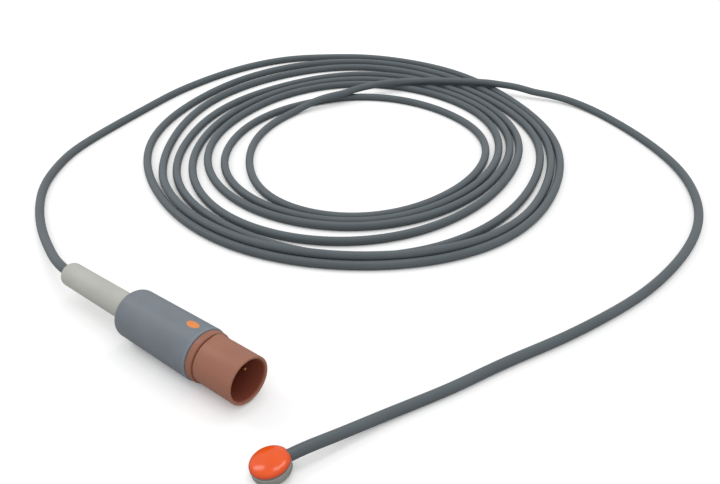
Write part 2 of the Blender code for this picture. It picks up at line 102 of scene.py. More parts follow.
# Sensor head
HEAD_TILT = math.radians(9)
HEAD_EXIT_AZIMUTH = math.radians(29)
HEAD_RADIUS = 4.4
CUP_HEIGHT = 2.3
CUP_WALL = 0.6
CUP_FLOOR = 0.45
CUP_EDGE = 1.0
CUP_RIM_EDGE = 0.12
CUP_BAND_BOTTOM = 1.86
CUP_BAND_DEPTH = 0.07
CUP_FOOT_RADIUS = 3.2
CUP_FOOT_RISE = 0.06
CAP_BOTTOM = 2.75
CAP_RISE = 1.25
CAP_WALL = 0.45
SEAL_BOTTOM = 2.32
SEAL_TOP = 2.72
SEAL_SETBACK = 0.06
SEAL_WIDTH = 0.8
JACKET_END_REACH = 2.4
CABLE_HEIGHT_IN_HEAD = 1.9
CABLE_NOTCH_ROOM = 0.04
CABLE_NOTCH_START = JACKET_END_REACH - 0.05
CABLE_NOTCH_LENGTH = 4.0

# Plug: distances along its axis are measured back from the mouth
PLUG_MOUTH = Vector((-6.4, 20.0, 6.75))
PLUG_AZIMUTH = math.radians(-38.4)
BARREL_MOUTH_RADIUS = 6.0
BARREL_ROOT_RADIUS = 5.95
BARREL_LENGTH = 11.8
BORE_RADIUS = 5.1
BORE_EDGE = 0.65
MOUTH_EDGE = 0.2
BARREL_ROOT_EDGE = 0.08
GROOVE_DEPTH = 0.35
GROOVE_EDGE = 0.04
COLLAR_RADIUS = 6.35
COLLAR_FRONT = 12.1
COLLAR_REAR = 13.9
COLLAR_FRONT_EDGE = 0.3
COLLAR_REAR_EDGE = 0.12
TENON_RADIUS = 5.3
TENON_REAR = 21.9
TENON_EDGE = 0.15
SEAT_RADIUS = 4.2
FAIRING_RADIUS = 3.9
FAIRING_LENGTH = 2.0
FAIRING_RISE = 0.35
FAIRING_ANGLE = math.radians(27)
KEY_WIDTH = 1.6
KEY_HEIGHT = 0.8
KEY_SETBACK = 1.0
INSERT_DEPTH = 11.0
INSERT_REAR = 13.6
BOSS_REAR = 17.7
PIN_RADIUS = 0.5
PIN_SPACING = 4.7
PIN_TIP_DEPTH = 3.3
PIN_SHOULDER = 18.0
PIN_REAR = 21.0
PIN_HOLE_ROOM = 0.02
COUNTERBORE_ROOM = 0.35
COUNTERBORE_DEPTH = 0.4
FACE_RING_DEPTH = 0.18
SOLDER_CUP_RADIUS = 0.8
SOLDER_CUP_BORE = 0.5
SOLDER_CUP_DEPTH = 1.5
GRIP_FRONT = 14.0
GRIP_REAR = 40.6
GRIP_FRONT_RADIUS = 6.7
GRIP_REAR_RADIUS = 6.35
GRIP_BORE_RADIUS = 5.6
GRIP_BORE_END = 38.3
GRIP_FRONT_EDGE = 0.4
GRIP_REAR_EDGE = 2.1
SLEEVE_FRONT = 36.5
SLEEVE_REAR = 66.8
SLEEVE_FRONT_RADIUS = 3.5
SLEEVE_REAR_RADIUS = 3.25
SLEEVE_END_EDGE = 1.3
FLANGE_RADIUS = 5.3
FLANGE_REAR = 38.0
JACKET_END = 30.0
DOT_LENGTH = 3.7
DOT_WIDTH = 2.2
DOT_RISE = 0.1
DOT_SINK = 0.04
DOT_PLACE = 18.0
DOT_ANGLE = math.radians(6)

# Linear colours, and the share of the shroud's colour that is left deep inside it as painted shade
CABLE_GREY = (0.115, 0.138, 0.150)
CAP_ORANGE = (0.98, 0.11, 0.010)
# The cap's orange where painted shade darkens it near its lower edge
CAP_RIM_SHADE_ORANGE = (0.58, 0.044, 0.004)
CUP_STEEL = (0.52, 0.51, 0.47)
SEAL_TEAL = (0.165, 0.22, 0.215)
SHROUD_BROWN = (0.335, 0.136, 0.083)
SHROUD_PAINTED_SHADE_SHARE = (0.95, 0.62, 0.60)
INSERT_BROWN = (0.11, 0.03, 0.018)
PIN_GILT = (0.85, 0.62, 0.26)
GRIP_GREY = (0.192, 0.218, 0.250)
DOT_ORANGE = (0.87, 0.27, 0.055)
SLEEVE_GREY = (0.53, 0.53, 0.49)
BEAD_BROWN = (0.55, 0.25, 0.10)
WIRE_TIN = (0.72, 0.72, 0.70)
CORE_WHITE = (0.80, 0.80, 0.78)
CLAMP_STEEL = (0.56, 0.57, 0.58)

# Floor: its shade for bounced light and where it is seen, and the lift to white where it is seen,
# which fades between these shares of open sky in narrow gaps as painted shade
FLOOR_BOUNCE = 0.52
FLOOR_SHADE = 0.86
FLOOR_LIFT = 0.31
FLOOR_GAP_SHADE_REACH = 6.0
FLOOR_GAP_SHADE_RANGE = (0.05, 0.45)

# Sky: its light on the object, and its shade where it is seen
SKY_LIGHT = 0.74
SKY_SEEN = 1.0

# Soft boxes aimed at the sensor: azimuth from +Y towards +X, elevation and roll in degrees, then width
# and height in metres, and power in watts; the distance is in metres too
SOFT_BOX_DISTANCE = 0.9
SOFT_BOXES = (
    ("box_left", -58, 43, -67, 0.38, 0.18, 0.74),
    ("box_back", 22, 64, 0, 0.20, 0.25, 0.52),
    ("box_top", -10, 77, 0, 0.25, 0.22, 0.56),
)


def turn_about(axis, angle):
    return Matrix.Rotation(angle, 4, axis)


head_foot = HEAD_RADIUS - CUP_EDGE
head_lift = head_foot * math.sin(HEAD_TILT) + CUP_EDGE * (1 - math.cos(HEAD_TILT))
HEAD = Matrix.Translation(Vector((CUP_HEIGHT * math.sin(HEAD_TILT), 0, head_lift)) * MM)
HEAD = HEAD @ turn_about("Y", -HEAD_TILT)
HEAD_EXIT = HEAD @ turn_about("Z", HEAD_EXIT_AZIMUTH)
PLUG = Matrix.Translation(PLUG_MOUTH * MM)
PLUG = PLUG @ Euler((math.pi / 2, 0, math.pi / 2 + PLUG_AZIMUTH)).to_matrix().to_4x4()


def placed(frame_matrix, place):
    """A point of a tilted frame as a place in the row frame, all in millimetres."""
    return np.array(frame_matrix @ (Vector(place) * MM)) / MM


# Cable route


def second_slopes(knots, values):
    """Second derivatives at the knots of the smooth line through the values, level at both ends."""
    count = len(knots)
    gaps = np.diff(knots)
    slopes = np.diff(values, axis=0) / gaps[:, None]
    matrix = np.eye(count)
    right = np.zeros_like(values)
    for i in range(1, count - 1):
        matrix[i, i - 1:i + 2] = gaps[i - 1], 2 * (gaps[i - 1] + gaps[i]), gaps[i]
        right[i] = 6 * (slopes[i] - slopes[i - 1])
    return np.linalg.solve(matrix, right)


def read_line(knots, values, where):
    """The smooth line through the values, read at the given places."""
    values = np.asarray(values, float)
    second = second_slopes(knots, values)
    left = np.clip(np.searchsorted(knots, where, side="right") - 1, 0, len(knots) - 2)
    gap = (knots[left + 1] - knots[left])[:, None]
    behind = (where - knots[left])[:, None]
    ahead = gap - behind
    return (
        (second[left] * ahead**3 + second[left + 1] * behind**3) / (6 * gap)
        + (values[left] / gap - second[left] * gap / 6) * ahead
        + (values[left + 1] / gap - second[left + 1] * gap / 6) * behind
    )


def distances_along(points):
    return np.concatenate(([0], np.cumsum(np.linalg.norm(np.diff(points, axis=0), axis=1))))


def smooth_line(points, step):
    """Evenly spaced points on the smooth line through the given ones."""
    points = np.asarray(points, float)
    for _ in range(2):
        knots = distances_along(points)
        points = read_line(knots, points, np.linspace(0, knots[-1], max(2, round(knots[-1] / step))))
    return points


def coil_points():
    """The turns of the coil as points on the floor, more than twelve to a turn."""
    bearings = []
    for turn in range(len(COIL_REACHES)):
        bearings += [bearing - 360 * turn for bearing in COIL_BEARINGS]
    knots = -np.array(bearings, float)
    reaches = np.array(COIL_REACHES, float).reshape(-1, 1)
    where = np.linspace(knots[0], knots[-1], POINTS_BETWEEN_BEARINGS * (len(knots) - 1) + 1)
    reach = read_line(knots, reaches, where)[:, 0]
    angle = np.radians(-where)
    x = COIL_MIDDLE[0] + reach * np.cos(angle)
    y = COIL_MIDDLE[1] + reach * np.sin(angle)
    return np.column_stack((x, y, np.zeros_like(x)))


def eased(heights):
    """A height line that a stiff cable can follow, nowhere lower than the given one."""
    reach = round(EASE_REACH / CABLE_STEP)
    padded = np.pad(heights, reach, mode="edge")
    highest = np.lib.stride_tricks.sliding_window_view(padded, 2 * reach + 1).max(axis=1)
    weights = np.cos(np.linspace(-math.pi / 2, math.pi / 2, 2 * reach + 1)) ** 2 + 0.001
    padded = np.pad(highest, reach, mode="edge")
    return np.convolve(padded, weights / weights.sum(), mode="valid")


def laid(line):
    """The same line with heights at which each length rests on the floor or on what was laid before it."""
    flat = line[:, :2]
    lowest = np.maximum(line[:, 2], 0) + CABLE_RADIUS
    apart = np.hypot(flat[:, None, 0] - flat[None, :, 0], flat[:, None, 1] - flat[None, :, 1])
    along = distances_along(flat)
    from_middle = flat - np.array(COIL_MIDDLE)
    bearing = np.degrees(np.unwrap(np.arctan2(from_middle[:, 1], from_middle[:, 0])))
    lifted = (bearing > LIFTED_STRETCH[0]) & (bearing < LIFTED_STRETCH[1])
    order = along + np.where(lifted, along[-1], 0)
    separate = np.abs(along[:, None] - along[None, :]) > NEIGHBOUR_REACH
    above = order[:, None] > order[None, :]
    later, earlier = np.nonzero((apart < CABLE_DIAMETER) & separate & above)
    lift = np.sqrt(CABLE_DIAMETER**2 - apart[later, earlier] ** 2)
    height = lowest
    for _ in range(LAYING_PASSES):
        needed = np.full(len(flat), CABLE_RADIUS)
        np.maximum.at(needed, later, height[earlier] + lift)
        height = np.maximum(lowest, eased(needed))
    return np.column_stack((flat, height))


def cable_line():
    """The cable's centreline from the sensor to the plug, in millimetres."""
    plug_inside = [placed(PLUG, (0, 0, -s)) for s in np.linspace(JACKET_END, SLEEVE_REAR, 6)]
    head_reaches = (HEAD_RADIUS + 0.1, JACKET_END_REACH)
    head_inside = [placed(HEAD_EXIT, (reach, 0, CABLE_HEIGHT_IN_HEAD)) for reach in head_reaches]
    above_rest = Vector((0, 0, CABLE_RADIUS))
    route = [point - above_rest for point in plug_inside]
    route += PLUG_LEAD_ROUTE
    route += list(coil_points())
    route += [(x, y, CABLE_DIAMETER) for x, y in CROSSING_ROUTE]
    route += SENSOR_LEAD_ROUTE[::-1]
    route += [point - above_rest for point in head_inside]
    return laid(smooth_line(route, CABLE_STEP))[::-1]


# Mesh building


def new_object(name, data):
    """An object with the given data, linked to the scene."""
    made = bpy.data.objects.new(name, data)
    bpy.context.scene.collection.objects.link(made)
    return made


def mesh_from(shape, name):
    """The finished shape as a mesh; the shape itself is freed."""
    mesh = bpy.data.meshes.new(name)
    shape.to_mesh(mesh)
    shape.free()
    return mesh


def add_piece(name, mesh, place, finish, slot, *nodes):
    """A new piece at its place in the frame, with its finish and the nodes that it stands for."""
    piece = new_object(name, mesh)
    piece.matrix_world = place
    mesh.materials.append(finish)
    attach(piece, "root")
    if nodes:
        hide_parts(*nodes)
    return piece


def shaded(mesh, sharp=math.radians(32)):
    mesh.shade_smooth()
    mesh.set_sharp_from_angle(angle=sharp)
    return mesh


def rounded(corners, closed=True, steps=6):
    """An outline through corners given as (radius, height, rounding)."""
    count = len(corners)
    outline = []
    for i, (x, y, bend) in enumerate(corners):
        here = np.array((x, y), float)
        if not bend or (not closed and i in (0, count - 1)):
            outline.append(here)
            continue
        back = np.array(corners[i - 1][:2]) - here
        ahead = np.array(corners[(i + 1) % count][:2]) - here
        back = back / np.linalg.norm(back)
        ahead = ahead / np.linalg.norm(ahead)
        half = math.acos(np.clip(back @ ahead, -1, 1)) / 2
        inward = (back + ahead) / np.linalg.norm(back + ahead)
        middle = here + inward * bend / math.sin(half)
        start = here + back * bend / math.tan(half) - middle
        end = here + ahead * bend / math.tan(half) - middle
        first = math.atan2(start[1], start[0])
        sweep = math.remainder(math.atan2(end[1], end[0]) - first, 2 * math.pi)
        for k in range(steps + 1):
            angle = first + sweep * k / steps
            outline.append(middle + bend * np.array((math.cos(angle), math.sin(angle))))
    return outline


def turned_mesh(name, outline, segments=144, closed=True):
    """A solid turned round its own Z axis."""
    shape = bmesh.new()
    angles = [2 * math.pi * k / segments for k in range(segments)]
    rings = []
    for radius, height in outline:
        if radius < 1e-6:
            rings.append([shape.verts.new((0, 0, height * MM))])
        else:
            rings.append([
                shape.verts.new((radius * MM * math.cos(a), radius * MM * math.sin(a), height * MM))
                for a in angles
            ])
    following = rings[1:] + (rings[:1] if closed else [])
    for here, there in zip(rings, following):
        for k in range(segments):
            corners = (
                here[k % len(here)], here[(k + 1) % len(here)],
                there[(k + 1) % len(there)], there[k % len(there)],
            )
            corners = list(dict.fromkeys(corners))
            if len(corners) > 2:
                shape.faces.new(corners)
    bmesh.ops.recalc_face_normals(shape, faces=shape.faces)
    return mesh_from(shape, name)


def rod_mesh(name, radius, start, end, segments):
    """A plain round rod on its own Z axis."""
    return turned_mesh(name, [(0, start), (radius, start), (radius, end), (0, end)], segments, closed=False)


def block_mesh(name, low, high):
    """A box between two corners."""
    shape = bmesh.new()
    size = Vector(high) - Vector(low)
    middle = (Vector(high) + Vector(low)) / 2
    matrix = Matrix.Translation(middle * MM) @ Matrix.Diagonal((*(size * MM), 1))
    bmesh.ops.create_cube(shape, size=1, matrix=matrix)
    return mesh_from(shape, name)


def combined(mesh, other, operation):
    """The Boolean of two meshes that share a frame."""
    piece = new_object("piece", mesh)
    tool = new_object("tool", other)
    modifier = piece.modifiers.new("cut", "BOOLEAN")
    modifier.operation = operation
    modifier.solver = "EXACT"
    modifier.object = tool
    view = bpy.context.evaluated_depsgraph_get()
    result = bpy.data.meshes.new_from_object(piece.evaluated_get(view))
    result.name = mesh.name
    for guide in (piece, tool):
        bpy.data.objects.remove(guide, do_unlink=True)
    return result


def cable_mesh(name, line):
    """A round tube on the line, with a map that runs round it and along it."""
    ahead = np.gradient(line, axis=0)
    ahead /= np.linalg.norm(ahead, axis=1)[:, None]
    side = np.cross((0, 0, 1), ahead)
    side /= np.linalg.norm(side, axis=1)[:, None]
    up = np.cross(ahead, side)
    angles = np.arange(CABLE_SIDES) * 2 * math.pi / CABLE_SIDES - math.pi / 2
    ring = np.cos(angles)[None, :, None] * side[:, None, :] + np.sin(angles)[None, :, None] * up[:, None, :]
    places = line[:, None, :] + CABLE_RADIUS * ring
    rows = len(line)
    vertices = (places.reshape(-1, 3) * MM).tolist()
    corner = np.arange(CABLE_SIDES)
    after = (corner + 1) % CABLE_SIDES
    faces = []
    for row in range(rows - 1):
        low = row * CABLE_SIDES
        high = low + CABLE_SIDES
        faces += np.column_stack((low + corner, low + after, high + after, high + corner)).tolist()
    faces.append(list(range(CABLE_SIDES))[::-1])
    faces.append(list(range((rows - 1) * CABLE_SIDES, rows * CABLE_SIDES)))
    mesh = bpy.data.meshes.new(name)
    mesh.from_pydata(vertices, [], faces)
    along = distances_along(line) * MM
    around = np.append(corner, CABLE_SIDES) / CABLE_SIDES
    map_rows = []
    for row in range(rows - 1):
        for k in range(CABLE_SIDES):
            map_rows += [
                (around[k], along[row]), (around[k + 1], along[row]),
                (around[k + 1], along[row + 1]), (around[k], along[row + 1]),
            ]
    map_rows += [(0, 0)] * (2 * CABLE_SIDES)
    layer = mesh.uv_layers.new(name="around_along")
    layer.data.foreach_set("uv", np.array(map_rows, np.float32).ravel())
    return shaded(mesh, math.radians(60))


def dot_mesh(name, rings=10, segments=64):
    """A low oval pad that follows the round grip, with a soft edge."""
    shape = bmesh.new()
    taper = (GRIP_FRONT_RADIUS - GRIP_REAR_RADIUS) / (GRIP_REAR - GRIP_FRONT)

    def spot(share, angle, rise):
        across = share * DOT_WIDTH / 2 * math.cos(angle)
        along = share * DOT_LENGTH / 2 * math.sin(angle)
        radius = GRIP_FRONT_RADIUS - taper * (DOT_PLACE - along - GRIP_FRONT) + rise
        turn = across / GRIP_FRONT_RADIUS + DOT_ANGLE
        return Vector((radius * math.sin(turn), radius * math.cos(turn), along - DOT_PLACE)) * MM

    angles = [2 * math.pi * k / segments for k in range(segments)]
    levels = []
    for ring in range(1, rings + 1):
        share = ring / rings
        levels.append((share, DOT_RISE * (1 - share**8)))
    levels.append((1, -DOT_SINK))
    top = shape.verts.new(spot(0, 0, DOT_RISE))
    under = shape.verts.new(spot(0, 0, -DOT_SINK))
    loops = [[shape.verts.new(spot(share, a, rise)) for a in angles] for share, rise in levels]
    for k in range(segments):
        following = (k + 1) % segments
        shape.faces.new((top, loops[0][k], loops[0][following]))
        for inner, outer in zip(loops, loops[1:]):
            shape.faces.new((inner[k], outer[k], outer[following], inner[following]))
        shape.faces.new((under, loops[-1][following], loops[-1][k]))
    bmesh.ops.recalc_face_normals(shape, faces=shape.faces)
    return shaded(mesh_from(shape, name))


# Finishes


def node(tree, kind, inputs, **settings):
    """A shader node; an input that is a socket is linked, and any other is a value."""
    made = tree.nodes.new("ShaderNode" + kind)
    for key, value in settings.items():
        setattr(made, key, value)
    for key, value in inputs.items():
        if isinstance(value, bpy.types.NodeSocket):
            tree.links.new(value, made.inputs[key])
        else:
            made.inputs[key].default_value = value
    return made


def noise(tree, where, scale, detail=2.0, roughness=0.5):
    inputs = {"Vector": where, "Scale": scale, "Detail": detail, "Roughness": roughness}
    return node(tree, "TexNoise", inputs).outputs["Fac"]


def ranged(tree, value, low, high, to_low, to_high):
    inputs = {"Value": value, "From Min": low, "From Max": high, "To Min": to_low, "To Max": to_high}
    return node(tree, "MapRange", inputs).outputs["Result"]


def mixed(tree, factor, first, second):
    made = node(tree, "Mix", {0: factor}, data_type="RGBA")
    for index, colour in ((6, first), (7, second)):
        if isinstance(colour, bpy.types.NodeSocket):
            tree.links.new(colour, made.inputs[index])
        else:
            made.inputs[index].default_value = (*colour, 1.0)
    return made.outputs[2]


def scaled(colour, share):
    return tuple(min(1.0, part * share) for part in colour)


def bumped(tree, layers):
    """Bumps on bumps: each layer is a height and how deep it goes, in metres."""
    normal = None
    for height, depth in layers:
        inputs = {"Height": height, "Distance": depth, "Strength": 1.0}
        if normal:
            inputs["Normal"] = normal
        normal = node(tree, "Bump", inputs).outputs["Normal"]
    return normal


def new_finish(name, roughness=0.5, metallic=0.0, **direct):
    finish = bpy.data.materials.new(name)
    finish.use_nodes = True
    tree = finish.node_tree
    shader = tree.nodes["Principled BSDF"]
    shader.inputs["Roughness"].default_value = roughness
    shader.inputs["Metallic"].default_value = metallic
    for key, value in direct.items():
        shader.inputs[key.replace("_", " ")].default_value = value
    return finish, tree, shader


def local_place(tree):
    return node(tree, "TexCoord", {}).outputs["Object"]


def stretched(tree, where, scale):
    """The same place, measured with another scale along each axis."""
    return node(tree, "Mapping", {"Vector": where, "Scale": scale}).outputs[0]


def mottled(tree, pattern, colour, darker, lighter):
    """The colour in two tones, blended by a broad pattern."""
    blend = ranged(tree, pattern, 0.35, 0.65, 0, 1)
    return mixed(tree, blend, scaled(colour, darker), scaled(colour, lighter))


def polished(tree, fine, broad, low, high):
    """Roughness between two levels, from a fine and a broad pattern."""
    both = node(tree, "Math", {0: fine, 1: broad}, operation="ADD").outputs[0]
    return ranged(tree, both, 0.6, 1.4, low, high)


def dressed(tree, shader, colour, roughness, normal):
    """Links a finish's colour, roughness and surface relief to its shader."""
    for key, socket in (("Base Color", colour), ("Roughness", roughness), ("Normal", normal)):
        tree.links.new(socket, shader.inputs[key])


def moulded(name, colour, roughness, grain=4500, grain_depth=6e-6, tone=0.06, edge_highlights=None, deep=None, **direct):
    """Moulded plastic or rubber: uneven tone, fine spark grain, soft flow marks, painted edge highlights and
    painted shade.

    Each painted edge highlight is (start, end, strength): the heights between which an edge turns lighter.
    Inside the radius deep, measured from the piece's axis, the colour is darker and more saturated as painted
    shade.
    """
    finish, tree, shader = new_finish(name, roughness, **direct)
    where = local_place(tree)
    broad = noise(tree, where, 140, 3)
    fine = noise(tree, where, grain, 2, 0.6)
    flow = noise(tree, stretched(tree, where, (1, 1, 0.18)), 420, 4)
    shade = mottled(tree, broad, colour, 1 - tone, 1 + tone)
    shade = mixed(tree, ranged(tree, flow, 0.45, 0.75, 0, 0.35), shade, scaled(colour, 1 + 2 * tone))
    shade = mixed(tree, ranged(tree, fine, 0.52, 0.8, 0, 0.5), shade, scaled(colour, 1 - 2 * tone))
    # Painted highlights: the colour turns lighter over each span of heights
    for start, end, strength in edge_highlights or ():
        height = node(tree, "SeparateXYZ", {0: where}).outputs["Z"]
        edge = ranged(tree, height, start * MM, end * MM, 0, strength)
        shade = mixed(tree, edge, shade, scaled(colour, 1.5))
    # Painted shade: the colour darkens and turns redder inside the radius deep
    if deep:
        across = node(tree, "VectorMath", {0: where, 1: (1, 1, 0)}, operation="MULTIPLY").outputs[0]
        reach = node(tree, "VectorMath", {0: across}, operation="LENGTH").outputs["Value"]
        inside = ranged(tree, reach, deep * MM, (deep + 0.2) * MM, 1, 0)
        inner = tuple(part * share for part, share in zip(colour, SHROUD_PAINTED_SHADE_SHARE))
        shade = mixed(tree, inside, shade, inner)
    polish = polished(tree, fine, broad, roughness - 0.07, roughness + 0.09)
    relief = bumped(tree, ((flow, 2.5 * grain_depth), (fine, grain_depth)))
    dressed(tree, shader, shade, polish, relief)
    return finish


def metal(name, colour, roughness, rings_along=0, rings_across=0):
    """Turned or brushed metal: fine tool rings along the axis or across the face, and a dull film."""
    finish, tree, shader = new_finish(name, roughness, 1.0)
    where = local_place(tree)
    film = noise(tree, where, 700, 4, 0.6)
    speck = noise(tree, where, 5200, 2)
    shade = mixed(tree, ranged(tree, film, 0.35, 0.7, 0, 0.25), colour, scaled(colour, 0.6))
    polish = ranged(tree, film, 0.3, 0.7, roughness - 0.06, roughness + 0.12)
    layers = [(speck, 2e-6)]
    if rings_along:
        inputs = {"Vector": where, "Scale": rings_along, "Distortion": 0.6, "Detail": 2}
        layers.append((node(tree, "TexWave", inputs, bands_direction="Z").outputs["Fac"], 1.5e-6))
    if rings_across:
        inputs = {"Vector": where, "Scale": rings_across, "Distortion": 0.4, "Detail": 2}
        wave = node(tree, "TexWave", inputs, wave_type="RINGS", rings_direction="Z")
        layers.append((wave.outputs["Fac"], 1.5e-6))
    dressed(tree, shader, shade, polish, bumped(tree, layers))
    return finish


def cable_finish():
    """Extruded grey jacket: faint lengthwise die lines, a satin skin and a little handling dust."""
    finish, tree, shader = new_finish("cable_jacket", 0.42, Specular_IOR_Level=0.36)
    where = local_place(tree)
    around = node(tree, "UVMap", {}, uv_map="around_along").outputs["UV"]
    lines = noise(tree, stretched(tree, around, (60, 9, 1)), 1, 3)
    broad = noise(tree, where, 55, 3)
    fine = noise(tree, where, 3800, 2, 0.6)
    shade = mottled(tree, broad, CABLE_GREY, 0.94, 1.07)
    shade = mixed(tree, ranged(tree, lines, 0.5, 0.8, 0, 0.5), shade, scaled(CABLE_GREY, 1.16))
    shade = mixed(tree, ranged(tree, fine, 0.58, 0.8, 0, 0.5), shade, scaled(CABLE_GREY, 0.85))
    polish = polished(tree, fine, broad, 0.36, 0.52)
    dressed(tree, shader, shade, polish, bumped(tree, ((lines, 1.2e-5), (fine, 5e-6))))
    return finish


def resin_finish():
    """Glossy orange resin, darker towards its lower edge as painted shade."""
    finish, tree, shader = new_finish("orange_resin", 0.15, Specular_IOR_Level=0.5)
    where = local_place(tree)
    height = node(tree, "SeparateXYZ", {0: where}).outputs["Z"]
    broad = noise(tree, where, 260, 3)
    fine = noise(tree, where, 2600, 2)
    # Painted shade: the orange darkens from high on the dome down to its lower edge
    rim_shade = ranged(tree, height, CAP_BOTTOM * MM, (CAP_BOTTOM + 0.6 * CAP_RISE) * MM, 1, 0)
    shade = mottled(tree, broad, CAP_ORANGE, 0.95, 1.05)
    shade = mixed(tree, rim_shade, shade, CAP_RIM_SHADE_ORANGE)
    shade = mixed(tree, ranged(tree, fine, 0.6, 0.8, 0, 0.25), shade, scaled(CAP_ORANGE, 0.85))
    polish = ranged(tree, fine, 0.3, 0.7, 0.12, 0.19)
    dressed(tree, shader, shade, polish, bumped(tree, ((broad, 1e-5), (fine, 1.5e-6))))
    return finish


# Pieces


def build_cable():
    """The whole cable as one piece, and its centreline."""
    line = cable_line()
    cable = add_piece(
        "cable", cable_mesh("cable", line), Matrix.Identity(4), cable_finish(), "cable_grey",
        "sensor_lead", "cable_coil", "plug_lead",
    )
    return cable, line


def build_head():
    """The skin sensor: metal cup, seal and domed cap, each notched for the cable."""
    start = Matrix.Translation(Vector((CABLE_NOTCH_START, 0, CABLE_HEIGHT_IN_HEAD)) * MM)
    notch_place = turn_about("Z", HEAD_EXIT_AZIMUTH) @ start @ turn_about("Y", math.pi / 2)

    def notched(mesh):
        way = rod_mesh("way", CABLE_RADIUS + CABLE_NOTCH_ROOM, 0, CABLE_NOTCH_LENGTH, 64)
        way.transform(notch_place)
        return shaded(combined(mesh, way, "DIFFERENCE"))

    inner = HEAD_RADIUS - CUP_WALL
    waist = HEAD_RADIUS - CUP_BAND_DEPTH
    cup = rounded((
        (HEAD_RADIUS, CUP_HEIGHT, CUP_RIM_EDGE), (HEAD_RADIUS, CUP_BAND_BOTTOM, 0),
        (waist, CUP_BAND_BOTTOM - 0.06, 0.03), (waist, 0, CUP_EDGE - CUP_BAND_DEPTH),
        (CUP_FOOT_RADIUS, 0, 0.05), (CUP_FOOT_RADIUS - 0.1, CUP_FOOT_RISE, 0.05), (0, CUP_FOOT_RISE, 0),
        (0, CUP_FLOOR, 0), (inner, CUP_FLOOR, CUP_EDGE - CUP_WALL), (inner, CUP_HEIGHT, CUP_RIM_EDGE),
    ), steps=8)
    finish = metal("cup_steel", CUP_STEEL, 0.42, rings_across=900, rings_along=1500)
    add_piece("cup", notched(turned_mesh("cup", cup, closed=False)), HEAD, finish, "cup_metal", "sensor_cup")

    seal_outer = HEAD_RADIUS - SEAL_SETBACK
    seal_inner = HEAD_RADIUS - SEAL_WIDTH
    seal = rounded((
        (seal_outer, SEAL_TOP, 0.1), (seal_outer, SEAL_BOTTOM, 0.1),
        (seal_inner, SEAL_BOTTOM, 0.05), (seal_inner, SEAL_TOP, 0.05),
    ))
    finish = moulded("seal_rubber", SEAL_TEAL, 0.5)
    add_piece("seal", notched(turned_mesh("seal", seal)), HEAD, finish, "seal_rubber", "seal_ring")

    outer_rise = [math.radians(a) for a in np.linspace(0, 86, 30)]
    shell = [(HEAD_RADIUS * math.sin(a), CAP_BOTTOM + CAP_RISE * math.cos(a)) for a in outer_rise]
    last_radius, last_height = shell[-1]
    lip = [
        (last_radius + 0.012, last_height - 0.05), (last_radius, CAP_BOTTOM + 0.01),
        (last_radius - 0.04, CAP_BOTTOM),
    ]
    inner_rise = [math.radians(a) for a in np.linspace(90, 0, 16)]
    inner_radius = HEAD_RADIUS - CAP_WALL
    hollow = [
        (inner_radius * math.sin(a), CAP_BOTTOM + (CAP_RISE - CAP_WALL) * math.cos(a)) for a in inner_rise
    ]
    dome = turned_mesh("dome", shell + lip + hollow, closed=False)
    add_piece("dome", notched(dome), HEAD, resin_finish(), "cap_orange", "sensor_cap")


def build_barrel():
    """The brown shroud with its collar, shadow groove, ramp and key rib."""
    groove = BARREL_ROOT_RADIUS - GROOVE_DEPTH
    outline = rounded((
        (BORE_RADIUS, 0, BORE_EDGE), (BARREL_MOUTH_RADIUS, 0, MOUTH_EDGE),
        (BARREL_ROOT_RADIUS, -BARREL_LENGTH, BARREL_ROOT_EDGE), (groove, -BARREL_LENGTH, GROOVE_EDGE),
        (groove, -COLLAR_FRONT, GROOVE_EDGE), (COLLAR_RADIUS, -COLLAR_FRONT, COLLAR_FRONT_EDGE),
        (COLLAR_RADIUS, -COLLAR_REAR, COLLAR_REAR_EDGE), (TENON_RADIUS, -COLLAR_REAR, 0),
        (TENON_RADIUS, -TENON_REAR, TENON_EDGE), (SEAT_RADIUS, -TENON_REAR, TENON_EDGE),
        (SEAT_RADIUS, -COLLAR_REAR, 0), (BORE_RADIUS, -COLLAR_REAR, 0),
    ), steps=5)
    barrel = turned_mesh("barrel", outline, 192)

    low = -BARREL_LENGTH
    high = low + FAIRING_LENGTH
    in_wall = BORE_RADIUS + 0.3
    ramp = turned_mesh("ramp", rounded((
        (0, low, 0), (FAIRING_RADIUS, low, 0.06),
        (FAIRING_RADIUS - FAIRING_RISE - 0.05, high, 0), (0, high, 0),
    ), closed=False), 196, closed=False)
    offset = BARREL_ROOT_RADIUS + FAIRING_RISE - FAIRING_RADIUS
    ramp.transform(turn_about("Z", -FAIRING_ANGLE) @ Matrix.Translation((0, offset * MM, 0)))
    core = rod_mesh("core", in_wall, low - 1, high + 1, 96)
    barrel = combined(barrel, combined(ramp, core, "DIFFERENCE"), "UNION")

    key_low = (-KEY_WIDTH / 2, BORE_RADIUS - KEY_HEIGHT, -INSERT_DEPTH + 0.1)
    key_high = (KEY_WIDTH / 2, in_wall, -KEY_SETBACK)
    barrel = combined(barrel, block_mesh("key", key_low, key_high), "UNION")
    # Painted highlights at the mouth and at the collar's front edge, and painted shade inside the bore
    finish = moulded(
        "shroud_brown", SHROUD_BROWN, 0.42, tone=0.05, deep=BORE_RADIUS + 0.12,
        edge_highlights=((-0.35, 0, 0.35), (-COLLAR_FRONT - 0.25, -COLLAR_FRONT, 0.25)),
    )
    add_piece("barrel", shaded(barrel), PLUG, finish, "shroud_brown", "plug_shroud")


